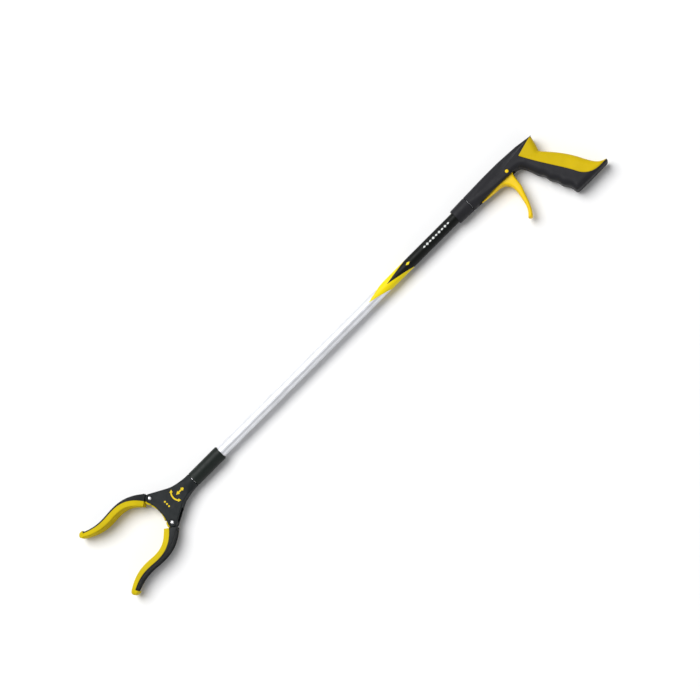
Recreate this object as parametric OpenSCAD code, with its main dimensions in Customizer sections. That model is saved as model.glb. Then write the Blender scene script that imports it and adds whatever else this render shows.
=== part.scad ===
// Reacher grabber, lying on its side.
// X runs along the tube towards the handle, Y is the side of the spine, +Z is up.
// The origin is under the middle of the object's box, on the surface it lies on.

/* [Lengths along the tube] */
// Length of the jaws ahead of their rivets
jaw_len = 102.5; // [95:0.5:115]
// Length of the head from its rivets to the collar
head_len = 58; // [56:1:62]
// Length of the collar
collar_len = 50; // [46:1:60]
// Bare length of tube between collar and handle
tube_len = 432; // [300:1:600]

/* [Tube] */
// Outside diameter of the tube
tube_od = 15; // [14.8:0.1:15.2]
// Wall of the tube
tube_wall = 1; // [0.8:0.1:1.2]
// Number of flutes along the tube
flutes = 12; // [8:1:14]
// Outside diameter of the collar
collar_od = 20; // [20:0.1:20.6]

/* [Head and jaws] */
// Distance of each jaw rivet from the tube's axis
rivet_y = 22; // [22:0.5:23]
// Thickness of the head across its two cheeks
head_t = 16; // [16:0.5:18]
// Width of the jaw blades
jaw_w = 25; // [20:0.5:26]
// Thickness of the jaw frame at its middle
frame_t = 2; // [2:0.1:2.6]
// Thickness of the rubber pad at its middle
pad_t = 8; // [6:0.1:8]

/* [Handle] */
// Thickness of the handle
handle_t = 26; // [26:0.5:30]
// Thickness of the trigger
trigger_t = 14; // [12:0.5:15]
// Wall of the handle's shells
shell_wall = 2.5; // [2:0.1:3]

/* [Hidden] */
$fn = 48;

fit = 0.05;              // running clearance of a shaft in its bore
gap = 0.4;               // air between parts that move past each other
handle_len = 189.5;      // from the nose to the lip of the butt
butt_y = -91.5;          // underside of the butt, from the tube's axis
jaw_top_y = rivet_y + 33.9; // top of an open jaw, from the tube's axis
overall = jaw_len + head_len + collar_len + tube_len + handle_len;

// Stations along X
rivet_x = jaw_len - overall / 2;
collar_x = rivet_x + head_len;
tube_x = collar_x + collar_len;
nose_x = tube_x + tube_len;
axis_y = -(butt_y + jaw_top_y) / 2;
axis_z = handle_t / 2;

tube_r = tube_od / 2;
tube_in = tube_r - tube_wall;
collar_r = collar_od / 2;
tube_front = tube_x - 20;      // where the tube ends in the collar
tube_rear = nose_x + 36;       // where the tube ends in the handle

// Colours
black = [0.16, 0.17, 0.18];
yellow = [0.85, 0.72, 0.02];
bright_yellow = [1, 0.84, 0.05];
steel = [0.75, 0.75, 0.77];
alloy = [0.86, 0.87, 0.88];
nylon = [0.9, 0.89, 0.84];

// ---------- helpers ----------
module on_axis(x = 0) {
    translate([x, axis_y, axis_z]) children();
}

module rod_x(r, l) {
    rotate([0, 90, 0]) cylinder(r = r, h = l);
}

module ring_x(r, bore, l) {
    rotate([0, 90, 0]) difference() {
        cylinder(r = r, h = l);
        translate([0, 0, -1]) cylinder(r = bore, h = l + 2);
    }
}

// A plate between two heights, cut from an outline
module slab(z0, z1) {
    translate([0, 0, z0]) linear_extrude(z1 - z0) children();
}

// A plate about z = 0 with stepped, softened edges on both sides
module soft_slab(h, edge) {
    slab(edge - h, h - edge) children();
    slab(edge * 0.45 - h, h - edge * 0.45) offset(delta = -edge * 0.2) children();
    slab(edge * 0.12 - h, h - edge * 0.12) offset(delta = -edge * 0.5) children();
    slab(-h, h) offset(delta = -edge) children();
}

module slot_2d(length, r) {
    for (x = [0, length]) translate([x, 0]) circle(r = r);
    translate([0, -r]) square([length, 2 * r]);
}

function bez(p, t) =
    pow(1 - t, 3) * p[0] + 3 * t * pow(1 - t, 2) * p[1] + 3 * t * t * (1 - t) * p[2] + t * t * t * p[3];
function bez_slope(p, t) =
    pow(1 - t, 2) * (p[1] - p[0]) + 2 * t * (1 - t) * (p[2] - p[1]) + t * t * (p[3] - p[2]);
function bez_run(p, n) = [for (i = [0:n - 1]) bez(p, i / n)];
function unit(v) = v / norm(v);

// ---------- tube ----------
flute_r = 0.55;

module flute_cuts(x0, x1) {
    for (i = [0:flutes - 1])
        rotate([(i + 0.5) * 360 / flutes, 0, 0]) translate([x0, tube_r + 0.2, 0]) rod_x(flute_r, x1 - x0);
}

module tube() {
    color(alloy) on_axis() difference() {
        translate([tube_front, 0, 0]) ring_x(tube_r, tube_in, tube_rear - tube_front);
        flute_cuts(tube_x + 1, nose_x - 1);
        // holes for the studs of the handle and for the collar's rivet
        for (z = [-1, 1]) translate([stud_x, 0, z * (tube_r - 0.5)]) cylinder(r = 2, h = 3, center = true);
        translate([collar_rivet_x, 0, -tube_r]) cylinder(r = 1.6, h = 3, center = true);
    }
}

// Printed film: its front edge is a chevron on each side of the tube
label_tip = nose_x - 159;
label_rake = 34;

module tube_label() {
    color(black) on_axis() difference() {
        translate([label_tip, 0, 0]) ring_x(tube_r + 0.2, tube_r, nose_x - label_tip);
        for (side = [-1, 1])
            slab(-10, 10) polygon([
                [label_tip - 1, 0], [label_tip, 0], [label_tip + label_rake, side * tube_r],
                [label_tip + label_rake, side * 10], [label_tip - 1, side * 10]
            ]);
    }
}

// ---------- collar and swivel ----------
shaft_r = 5.6;
shaft_bore = 2.2;
flange_r = 6.6;
chamber_x = collar_x + 18;
collar_rivet_x = tube_x - 8;
ring_x0 = collar_x + 6;
ring_w = 4;

module collar() {
    color(black) on_axis() difference() {
        union() {
            translate([collar_x, 0, 0]) rod_x(collar_r, collar_len - 1);
            translate([collar_x, 0, 0]) rod_x(collar_r - 0.7, collar_len);
        }
        translate([collar_x - 1, 0, 0]) rod_x(shaft_r + fit, 30);
        translate([ring_x0, 0, 0]) rod_x(shaft_r + 1.6, ring_w);
        translate([chamber_x, 0, 0]) rod_x(7.4, tube_front - chamber_x);
        translate([tube_front - 1, 0, 0]) rod_x(tube_r + fit, 40);
        translate([collar_rivet_x, 0, -collar_r]) cylinder(r = 1.6, h = 8, center = true);
    }
}

module collar_rivet() {
    color(steel) on_axis(collar_rivet_x) translate([0, 0, -collar_r]) {
        cylinder(r = 1.6, h = collar_r - tube_in + 0.6);
        difference() {
            translate([0, 0, -0.3]) cylinder(r = 2.6, h = 1);
            rotate([0, 90, 0]) translate([-collar_r, 0, -5]) cylinder(r = collar_r, h = 10);
        }
    }
}

notch_r = 1;

module swivel_shaft() {
    color(steel) on_axis() difference() {
        union() {
            translate([rivet_x + 44, 0, 0]) rod_x(flange_r, 4);
            translate([rivet_x + 44, 0, 0]) rod_x(shaft_r, chamber_x + 6 - rivet_x - 44);
        }
        translate([rivet_x, 0, 0]) rod_x(shaft_bore, 100);
        translate([chamber_x + 1.5, 0, 0]) ring_x(10, 4.6, 1.2);
        for (a = [0:90:270])
            rotate([a, 0, 0]) translate([ring_x0, shaft_r + 0.3, 0]) rod_x(notch_r, ring_w);
    }
}

module retaining_clip() {
    color(steel) on_axis(chamber_x + 1.6) difference() {
        ring_x(7, 4.65, 1);
        translate([-1, 0, -2]) cube([3, 20, 4]);
    }
}

// Spring ring in the collar with one bump that sits in a notch of the shaft
module detent_ring() {
    color(steel) on_axis(ring_x0 + 0.3) {
        difference() {
            ring_x(shaft_r + 1.2, shaft_r + 0.5, ring_w - 0.6);
            translate([-1, 0, -2]) cube([8, 20, 4]);
        }
        translate([0, -shaft_r - 0.3, 0]) rod_x(notch_r - 0.15, ring_w - 0.6);
    }
}

// ---------- pull rod ----------
rod_r = 1.5;
guide_len = 8;
hook_arm = 8.4;                 // lever arm of the rod about the trigger pin
pin_x = nose_x + 88.5;          // trigger pin
pin_y = -7.5;
swing = 32;                     // travel of the trigger in degrees
rod_travel = 2 * hook_arm * sin(swing / 2);
hook_pin_r = 1.2;
hook_x = pin_x - hook_arm * sin(swing / 2);
hook_y = pin_y - hook_arm * cos(swing / 2);
crank_x = nose_x + 60;          // where the rod bends down to the trigger
guide_xs = [tube_front + 1, nose_x - 190, tube_rear - guide_len];
nut_x = rivet_x + 4;
sleeve_xs = [rivet_x + 13.6, nose_x - 10];

module rod_leg(p, q) {
    v = q - p;
    translate([p.x, p.y, 0]) rotate([0, 0, atan2(v.y, v.x)]) rod_x(rod_r, norm(v));
    translate([q.x, q.y, 0]) sphere(r = rod_r + 0.05);
}

module pull_rod() {
    route = [[nut_x, 0], [crank_x, 0], [hook_x - 5, hook_y], [hook_x, hook_y]];
    color(steel) on_axis() difference() {
        union() {
            for (i = [0:2]) rod_leg(route[i], route[i + 1]);
            translate([hook_x, hook_y, 0]) cylinder(r = 2.6, h = 3.6, center = true);
        }
        translate([hook_x, hook_y, 0]) cylinder(r = hook_pin_r, h = 10, center = true);
    }
}

module hook_pin() {
    color(steel) on_axis(hook_x) translate([0, hook_y, 0])
        cylinder(r = hook_pin_r, h = trigger_t - 1, center = true);
}

module rod_nut() {
    color(steel) on_axis(nut_x - 0.6) rod_x(2.6, 0.6);
    color(steel) on_axis(nut_x) ring_x(2.6, rod_r, 2.4);
}

module rod_sleeves() {
    color(steel) for (x = sleeve_xs) on_axis(x) ring_x(3.4, rod_r, 4);
}

module rod_guides() {
    color(nylon) for (x = guide_xs) on_axis(x) ring_x(tube_in, rod_r + fit, guide_len);
}

// Coil spring between the rear sleeve and the rear guide, swept as a helix
spring_r = 3.9;
wire_r = 0.45;
spring_turns = 9;
turn_steps = 12;
wire_sides = 6;
spring_x0 = sleeve_xs[1] + 4;
spring_x1 = guide_xs[2];

function spring_ring(i, n) =
    let (a = 360 * spring_turns * i / n)
    [for (k = [0:wire_sides - 1])
        let (b = 360 * k / wire_sides, r = spring_r + wire_r * cos(b))
        [wire_r + (spring_x1 - spring_x0 - 2 * wire_r) * i / n + wire_r * sin(b), r * cos(a), r * sin(a)]];

module return_spring() {
    n = spring_turns * turn_steps;
    pts = [for (i = [0:n]) each spring_ring(i, n)];
    s = wire_sides;
    sides = [for (i = [0:n - 1]) for (k = [0:s - 1])
        [i * s + k, i * s + (k + 1) % s, (i + 1) * s + (k + 1) % s, (i + 1) * s + k]];
    ends = [[for (k = [s - 1:-1:0]) k], [for (k = [0:s - 1]) n * s + k]];
    color(steel) on_axis(spring_x0) polyhedron(points = pts, faces = concat(sides, ends), convexity = 8);
}

// ---------- crosshead ----------
cheek_t = 2.8;
root_t = head_t / 2 - cheek_t - gap; // half thickness of what runs between the cheeks
arm = 9;                        // from a rivet inwards to the crosshead's pin
lug_angle = 3.2;                // lean of the jaw's lug when open
yoke_x = arm * tan(lug_angle);  // crosshead pins behind the rivets when open
yoke_pin_r = 1.25;
yoke_in = 2.9;                  // the jaws' lugs run between the crosshead's two plates

module crosshead() {
    color(black) on_axis(rivet_x + yoke_x) difference() {
        union() {
            for (s = [-1, 1]) scale([1, 1, s]) slab(yoke_in, root_t) {
                translate([-2, -rivet_y + arm]) square([5, 2 * (rivet_y - arm)]);
                for (y = [-1, 1]) translate([0.5, y * (rivet_y - arm)]) circle(r = 2.5);
            }
            translate([-2, -4.5, -root_t]) cube([15, 9, 2 * root_t]);
        }
        translate([-3, 0, 0]) rod_x(2.6 + fit, nut_x + 2.4 - rivet_x - yoke_x + 3);
        rod_x(rod_r + fit, 40);
        for (y = [-1, 1])
            translate([0, y * (rivet_y - arm), 0]) cylinder(r = yoke_pin_r, h = 20, center = true);
    }
}

module crosshead_pins() {
    color(steel) for (y = [-1, 1])
        on_axis(rivet_x + yoke_x) translate([0, y * (rivet_y - arm), 0])
            cylinder(r = yoke_pin_r, h = 2 * root_t, center = true);
}

// ---------- head ----------
lobe_r = 6;
neck_r = collar_r - 0.1;
throat_x = -2;                  // deepest point of the hollow front edge
throat_r = 57;                  // radius of the hollow front edge
waist_r = 44;                   // radius of the hollow sides
side_angle = 29;                // slope of the sides behind the lobes
neck_x = 42;                    // where the cheeks blend into the round neck
neck_end = head_len - 1;
rivet_head_r = 2.45;

module head_2d() {
    lobe = [lobe_r * sin(side_angle), rivet_y + lobe_r * cos(side_angle)];
    front = [-lobe_r * cos(25), rivet_y - lobe_r * sin(25)];
    waist_dy = waist_r * (1 - cos(side_angle));
    waist_x = lobe.x + (lobe.y - neck_r - waist_dy) / tan(side_angle);
    waist_end = waist_x + waist_r * sin(side_angle);
    for (s = [-1, 1]) translate([0, s * rivet_y]) circle(r = lobe_r);
    difference() {
        polygon([
            [front.x, front.y], [lobe.x - 2, rivet_y], [lobe.x, lobe.y], [waist_x, neck_r + waist_dy],
            [waist_end, neck_r + waist_dy], [waist_end, neck_r], [neck_end, neck_r],
            [neck_end, -neck_r], [waist_end, -neck_r], [waist_end, -neck_r - waist_dy],
            [waist_x, -neck_r - waist_dy], [lobe.x, -lobe.y], [lobe.x - 2, -rivet_y], [front.x, -front.y]
        ]);
        for (s = [-1, 1]) translate([waist_end, s * (neck_r + waist_r)]) circle(r = waist_r);
        translate([throat_x - throat_r, 0]) circle(r = throat_r);
    }
}

core_x = 22;                    // the cheeks are joined from here to the neck
screw_spots = [[30, 8.2], [30, -8.2]];
screw_r = 1.2;

// Whole head as one form: cheeks, core and round neck, without its hollows
module head_form() {
    for (s = [0, 1]) mirror([0, 0, s]) {
        slab(head_t / 2 - cheek_t, head_t / 2 - 0.7) head_2d();
        slab(head_t / 2 - 0.7, head_t / 2) offset(delta = -0.7) head_2d();
    }
    intersection() {
        slab(-head_t / 2 + 0.7, head_t / 2 - 0.7) head_2d();
        translate([core_x, -40, -20]) cube([80, 80, 40]);
    }
}

module head_half() {
    difference() {
        intersection() {
            union() {
                intersection() {
                    head_form();
                    translate([-30, -40, 0]) cube([30 + neck_x, 80, 40]);
                }
                hull() {
                    translate([neck_x - 0.2, -neck_r, -head_t / 2 + 0.7]) cube([0.2, 2 * neck_r, head_t - 1.4]);
                    translate([neck_end - 1, 0, 0]) rod_x(neck_r, 1);
                }
            }
            translate([-30, -40, 0]) cube([120, 80, 40]);
        }
        // hollow core with room for the crosshead, rod and sleeve
        slab(-1, head_t / 2 - cheek_t) polygon([
            [core_x - 1, -5], [core_x + 14, -4.2], [core_x + 14, 4.2], [core_x - 1, 5]
        ]);
        translate([core_x - 2, 0, 0]) rod_x(shaft_bore, 60);
        translate([43.9, 0, 0]) rod_x(flange_r + fit, 4.1);
        translate([43, 0, 0]) rod_x(shaft_r + fit, 40);
        for (s = [-1, 1]) translate([0, s * rivet_y, 0]) {
            cylinder(r = 2, h = 40);
            translate([0, 0, head_t / 2 - 0.8]) cylinder(r = 4.3, h = 2);
        }
        for (p = screw_spots) translate([p.x, p.y, -1]) cylinder(r = screw_r, h = 7);
    }
}

module head_shell_upper() {
    color(black) on_axis(rivet_x) head_half();
}

module head_shell_lower() {
    color(black) on_axis(rivet_x) difference() {
        mirror([0, 0, 1]) head_half();
        for (p = screw_spots) translate([p.x, p.y, -head_t]) {
            cylinder(r = screw_r, h = 30);
            cylinder(r = 2.4, h = head_t / 2 + 2);
        }
    }
}

module pan_screw(r, head_r, head_h, length) {
    cylinder(r = r, h = length);
    difference() {
        cylinder(r = head_r, h = head_h);
        for (a = [0, 90]) rotate([0, 0, a]) translate([-head_r * 0.6, -0.4, -0.1])
            cube([head_r * 1.2, 0.8, 1]);
    }
}

module head_screws() {
    color(steel) on_axis(rivet_x) for (p = screw_spots)
        translate([p.x, p.y, 0.4 - head_t / 2]) pan_screw(screw_r, 2.4, 1.6, head_t / 2 + 4);
}

module rivet_dome() {
    cylinder(r = rivet_head_r, h = 0.6);
    intersection() {
        translate([0, 0, 0.6]) cylinder(r = rivet_head_r, h = 2);
        translate([0, 0, -1.2]) sphere(r = norm([rivet_head_r, 1.8]));
    }
}

module jaw_rivets() {
    color(steel) on_axis(rivet_x) for (s = [-1, 1]) translate([0, s * rivet_y, 0]) {
        cylinder(r = 2, h = head_t - 1.6, center = true);
        for (m = [0, 1]) mirror([0, 0, m]) translate([0, 0, head_t / 2 - 0.8]) rivet_dome();
    }
}

// Rubber strip bonded along the hollow front edge
module throat_pad() {
    color(yellow) on_axis(rivet_x) slab(1 - head_t / 2, head_t / 2 - 1) intersection() {
        difference() {
            translate([throat_x - throat_r, 0]) circle(r = throat_r);
            translate([throat_x - throat_r - 2, 0]) circle(r = throat_r);
        }
        translate([-12, -13]) square([14, 26]);
    }
}

// ---------- jaws: drawn about their rivet, pointing to -X ----------
k = jaw_len / 102.5;
root_curve = k * [[-8, 2.5], [-20.5, 20], [-34, 24], [-52, 22.6]];
tip_curve = k * [[-52, 22.6], [-66, 21.5], [-77, 21], [-94.5, 29.6]];
jaw_steps = 14;

function jaw_point(s) = s < 1 ? bez(root_curve, s) : bez(tip_curve, s - 1);
function jaw_slope(s) = unit(s < 1 ? bez_slope(root_curve, s) : bez_slope(tip_curve, s - 1));
function jaw_offset(s, d) = jaw_point(s) + d * [jaw_slope(s).y, -jaw_slope(s).x];
function frame_depth(s) = s < 1 ? frame_t + 7.8 * pow(1 - s, 2.3) : frame_t - 0.6 * (s - 1);
function pad_depth(s) = s < 1 ? pad_t : pad_t - 2.4 * pow(s - 1, 2);
jaw_spans = [for (i = [0:2 * jaw_steps]) i / jaw_steps];

module blade_2d() {
    polygon(concat(
        [for (s = jaw_spans) jaw_offset(s, frame_depth(s))],
        [for (i = [2 * jaw_steps:-1:0]) jaw_point(i / jaw_steps)]
    ));
}

rib_pitch = 4;
rib_w = 2.6;
rib_h = 0.7;

// The pad wraps round the tip of the frame
module pad_2d() {
    tip_in = jaw_offset(2, rib_h - pad_depth(2));
    ahead = [jaw_slope(2).x, jaw_slope(2).y];
    outer = jaw_offset(2, 3.4);
    polygon(concat(
        [for (s = jaw_spans) jaw_point(s)],
        [jaw_offset(2, frame_depth(2)), outer],
        bez_run([outer + ahead * 1.5, outer + ahead * 7, tip_in + ahead * 8.6, tip_in + ahead * 5], 8),
        [for (i = [2 * jaw_steps:-1:0])
            let (s = i / jaw_steps) jaw_offset(s, rib_h - pad_depth(s))]
    ));
}

// A rib along the gripping face, rooted inside the pad
module rib_2d() {
    polygon(concat(
        [for (i = [1:2 * jaw_steps]) jaw_offset(i / jaw_steps, 2 - pad_depth(i / jaw_steps))],
        [jaw_offset(2, 2 - pad_depth(2)) + 4 * jaw_slope(2)],
        [jaw_offset(2, 0.3 - pad_depth(2)) + 5 * jaw_slope(2)],
        [for (i = [2 * jaw_steps:-1:1]) jaw_offset(i / jaw_steps, -pad_depth(i / jaw_steps))]
    ));
}

// Plan of a blade from outside: narrow by its rivet, with an end like a rounded tongue
module tongue() {
    w = jaw_w / 2;
    half = [
        [30, head_t / 2], [-7 * k, head_t / 2], [-15 * k, 0.84 * w], [-24 * k, 0.96 * w], [-34 * k, w],
        [-70 * k, w], [-82 * k, 0.94 * w], [-92 * k, 0.82 * w], [-99 * k, 0.65 * w], [-103 * k, 0.45 * w]
    ];
    rotate([90, 0, 0]) translate([0, 0, -60]) linear_extrude(80)
        polygon(concat(half, [for (i = [9:-1:0]) [half[i].x, -half[i].y]]));
}

slot_near = arm - 0.2;
slot_far = arm + 1.5;
slot_r = yoke_pin_r + 0.45;

module root_2d() {
    circle(r = lobe_r - 0.2);
    polygon([jaw_point(0.06), jaw_offset(0.06, frame_depth(0)), [0, lobe_r - 0.4], [-1, -2]]);
}

module jaw_frame() {
    difference() {
        union() {
            intersection() {
                slab(-jaw_w / 2, jaw_w / 2) blade_2d();
                tongue();
            }
            slab(-root_t, root_t) root_2d();
            rotate([0, 0, lug_angle - 90]) slab(-2.5, 2.5) slot_2d(slot_far, slot_r + 1.7);
        }
        cylinder(r = 2 + fit, h = 40, center = true);
        rotate([0, 0, lug_angle - 90]) translate([0, 0, -5]) linear_extrude(10)
            translate([slot_near, 0]) slot_2d(slot_far - slot_near, slot_r);
    }
}

module jaw_pad() {
    difference() {
        union() {
            intersection() {
                slab(-jaw_w / 2, jaw_w / 2) pad_2d();
                tongue();
            }
            // tail round the front of the lobe, between the cheeks
            slab(-root_t, root_t) difference() {
                circle(r = 8.6);
                circle(r = lobe_r + 0.2);
                rotate([0, 0, -145]) square([20, 40]);
                translate([-20, 0]) rotate([0, 0, 12]) square([40, 20]);
                translate([-2.5, -20]) square([40, 40]);
                blade_2d();
            }
        }
        slab(-root_t - 0.2, root_t + 0.2) root_2d();
    }
    intersection() {
        for (z = [-2:2]) slab(z * rib_pitch - rib_w / 2, z * rib_pitch + rib_w / 2) rib_2d();
        tongue();
    }
}

module upper_place() {
    on_axis(rivet_x) translate([0, rivet_y, 0]) children();
}

module lower_place() {
    on_axis(rivet_x) mirror([0, 1, 0]) translate([0, rivet_y, 0]) children();
}

module jaw_frame_upper() {
    color(black) upper_place() jaw_frame();
}

module jaw_pad_upper() {
    color(yellow) upper_place() jaw_pad();
}

module jaw_frame_lower() {
    color(black) lower_place() jaw_frame();
}

module jaw_pad_lower() {
    color(yellow) lower_place() jaw_pad();
}

// ---------- handle: drawn from the nose, X back along the tube ----------
ring_len = 25;
spine_y = 10.5;
under_y = -12.6;
half_t = handle_t / 2;
spur = [144, 6.8];
finger = [109, -21];            // top of the finger side of the grip
heel = [133.5, -88];            // bottom of the finger side
stud_x = nose_x + 30;
trig = [pin_x - nose_x, pin_y];

// Finger side of the grip: a slanted, slightly full line with three shallow grooves
function finger_side(t) =
    finger + t * (heel - finger) + [(t < 0.25 ? 0 : 0.8 * (1 - cos(1440 * t))) - sin(180 * t), 0];

web_run = bez_run([[144, 6.1], [143, 1], [140, -9], [137, -17]], 6);
back_run = concat(
    [for (i = [1:5]) web_run[i]],
    bez_run([[137, -17], [141, -23], [152, -34], [161, -49]], 6),
    bez_run([[161, -49], [172, -67], [174, -84], [handle_len, -87.5]], 10)
);

// Whole side outline of the grip and the rear of the receiver
module grip_2d() {
    polygon(concat(
        [[85, 8], spur, web_run[0]],
        back_run,
        [[handle_len, -88.2], [handle_len - 1, -90.8], [handle_len - 4, -91.3]],
        [[148, butt_y], [139.5, -91.3], [135.8, -90.3]],
        [for (i = [16:-1:0]) finger_side(i / 16)],
        bez_run([finger, [106, -14.5], [102, under_y], [95, under_y]], 5),
        [[85, under_y]]
    ));
}

// Yellow back: from the spur down to the lip of the butt
module back_2d() {
    polygon(concat(
        [[113.5, -4]],
        back_run,
        [[handle_len, -87.9]],
        bez_run([[184, -88.6], [164, -90.5], [155, -83], [150, -71]], 8),
        bez_run([[150, -71], [143.5, -56], [125.5, -31], [113.3, -5.5]], 8)
    ));
}

// Cross-section of the receiver as a thin slice at x
module receiver_slice(x, top, flat_top, low, side, crown) {
    translate([x, 0, 0]) {
        translate([0, low + 2, -side]) cube([0.2, flat_top - low - 2, 2 * side]);
        translate([0, low, 2 - side]) cube([0.2, 1, 2 * side - 4]);
        translate([0, top - crown, 0]) rod_x(crown, 0.2);
    }
}

module receiver_station(i) {
    if (i == 0) translate([ring_len, 0, 0]) rod_x(11, 0.2);
    if (i == 1) receiver_slice(60, 12, -2, -11.6, 11.5, 7.5);
    if (i == 2) receiver_slice(88, 12, -2, under_y, half_t, 6.5);
    if (i == 3) receiver_slice(120, 10.2, 2, -8, half_t - 1, 4.5);
    if (i == 4) receiver_slice(spur.x - 0.4, spur.y, 5, 2.1, half_t - 3, 1.5);
}

module receiver_form() {
    for (i = [0:3]) hull() {
        receiver_station(i);
        receiver_station(i + 1);
    }
}

module upper_half() {
    intersection() {
        children();
        translate([-10, -120, 0]) cube([240, 160, 60]);
    }
}

screw_posts = [[102, -6], [123, -40], [142, -80]];
stud_depth = tube_in + 0.2;
under_room = 10;                // depth of the rod's channel below the tube's axis

// Upper half of the black shell, without its screw posts
module shell_form() {
    difference() {
        upper_half() {
            intersection() {
                receiver_form();
                slab(-1, 40) polygon(concat([[20, -40], [20, 20], [spur.x, 20]], web_run, [[137, -40]]));
            }
            soft_slab(half_t, 3) difference() {
                grip_2d();
                translate([0, -11]) square([200, 40]);
            }
        }
        slab(-1, 40) offset(delta = 0.1) back_2d();
        // seat of the tube and bore of the nose
        translate([-1, 0, 0]) rod_x(tube_r + fit, tube_rear - nose_x + 1);
        // room for the rod and for the trigger's root
        translate([36, -under_room, -1]) cube([60, under_room + 5, 1 + trigger_t / 2 + gap]);
        translate([34, -30, -1]) cube([62.5, 26, 1 + trigger_t / 2 + gap]);
        // hollow grip
        slab(-1, half_t - shell_wall) difference() {
            offset(delta = -shell_wall) grip_2d();
            translate([0, -14]) square([200, 60]);
        }
        // bore of the trigger pin
        translate([trig.x, trig.y, -1]) cylinder(r = 2.5 + fit, h = 60);
        translate([trig.x, trig.y, half_t - 0.6]) cylinder(r = 3.4, h = 10);
    }
    // neck that the nose ring slides over
    upper_half() translate([12, 0, 0]) ring_x(8.6, tube_r, 14);
    // stud into the tube
    translate([stud_x - nose_x, 0, stud_depth]) cylinder(r = 2, h = 3);
}

module handle_shell_upper() {
    color(black) on_axis(nose_x) difference() {
        union() {
            shell_form();
            for (p = screw_posts) translate([p.x, p.y, 0]) cylinder(r = 3.4, h = half_t - 1.5);
        }
        for (p = screw_posts) translate([p.x, p.y, -1]) cylinder(r = 1.5, h = 10);
    }
}

module handle_shell_lower() {
    color(black) on_axis(nose_x) difference() {
        union() {
            mirror([0, 0, 1]) shell_form();
            for (p = screw_posts) translate([p.x, p.y, 1 - half_t]) cylinder(r = 3.4, h = half_t - 1);
        }
        for (p = screw_posts) translate([p.x, p.y, -half_t - 1]) {
            cylinder(r = 1.5, h = 30);
            cylinder(r = 2.8, h = 4);
        }
    }
}

module handle_screws() {
    color(steel) on_axis(nose_x) for (p = screw_posts)
        translate([p.x, p.y, 1 - half_t]) pan_screw(1.5, 2.8, 2, half_t + 6);
}

module nose_ring() {
    color(black) on_axis(nose_x) difference() {
        union() {
            rotate([0, 90, 0]) translate([0, 0, 1]) cylinder(r1 = 10.4, r2 = 11, h = ring_len - 1.4);
            rod_x(9.9, 2);
        }
        translate([-1, 0, 0]) rod_x(tube_r + 0.2, 30);
        translate([11.9, 0, 0]) rod_x(8.6, 30);
    }
}

module grip_back() {
    color(yellow) on_axis(nose_x) {
        difference() {
            soft_slab(half_t, 3.5) back_2d();
            slab(3 - half_t, half_t - 3) offset(delta = -3) back_2d();
        }
    }
}

// ---------- trigger: drawn about its pin ----------
module trigger_2d() {
    circle(r = 6.3);
    polygon(concat(
        bez_run([[-50, -4.2], [-40, -5.6], [-30, -6.2], [-22, -6.4]], 4),
        bez_run([[-22, -6.4], [-10, -7.5], [-7, -18], [-8.6, -28]], 8),
        bez_run([[-8.6, -28], [-12, -42], [-12, -52], [-23, -61.5]], 8),
        bez_run([[-23, -61.5], [-22, -65], [-18.5, -65.5], [-17, -63.5]], 4),
        bez_run([[-17, -63.5], [-7, -52], [-5, -38], [0, -28]], 8),
        bez_run([[0, -28], [2.6, -20], [1.5, -12], [5, -3.8]], 6),
        [[5, -3.8], [-6, -2.6], [-12, -3.4], [-30, -3.6], [-50, -2.2]]
    ));
}

module trigger() {
    color(bright_yellow) on_axis(pin_x) translate([0, pin_y, 0]) difference() {
        intersection() {
            slab(-trigger_t / 2, trigger_t / 2) trigger_2d();
            // the thin tail is as wide as the blade, its edges are eased
            union() {
                slab(-trigger_t / 2 + 1, trigger_t / 2 - 1) offset(delta = 1) trigger_2d();
                slab(-trigger_t, trigger_t) offset(delta = -0.6) trigger_2d();
            }
            // the tail narrows towards its end
            rotate([90, 0, 0]) translate([0, 0, -20]) linear_extrude(100) polygon([
                [-51, -2], [-18, -trigger_t / 2 - 1], [20, -trigger_t / 2 - 1],
                [20, trigger_t / 2 + 1], [-18, trigger_t / 2 + 1], [-51, 2]
            ]);
        }
        cylinder(r = 2.5, h = 40, center = true);
        // slot down the middle for the rod, and slots for its cross pin
        translate([-34, -16, -2.6]) cube([39, 30, 5.2]);
        rotate([0, 0, -90 - swing / 2]) translate([hook_arm - 0.6, 0, -10]) linear_extrude(20)
            slot_2d(0.9, 1.5);
    }
}

module trigger_pin() {
    color(bright_yellow) on_axis(pin_x) translate([0, pin_y, 0])
        cylinder(r = 2.5, h = handle_t - 0.8, center = true);
}

tube();
tube_label();
collar();
collar_rivet();
rod_guides();
detent_ring();
nose_ring();
handle_shell_upper();
handle_shell_lower();
handle_screws();
grip_back();
trigger();
trigger_pin();
return_spring();
pull_rod();
rod_sleeves();
rod_nut();
hook_pin();
head_shell_upper();
head_shell_lower();
head_screws();
jaw_rivets();
throat_pad();
swivel_shaft();
retaining_clip();
crosshead();
crosshead_pins();
jaw_frame_upper();
jaw_pad_upper();
jaw_frame_lower();
jaw_pad_lower();
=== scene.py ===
import math

import bmesh
import bpy
import numpy as np
from mathutils import Matrix, Vector
from mathutils.geometry import delaunay_2d_cdt


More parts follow.
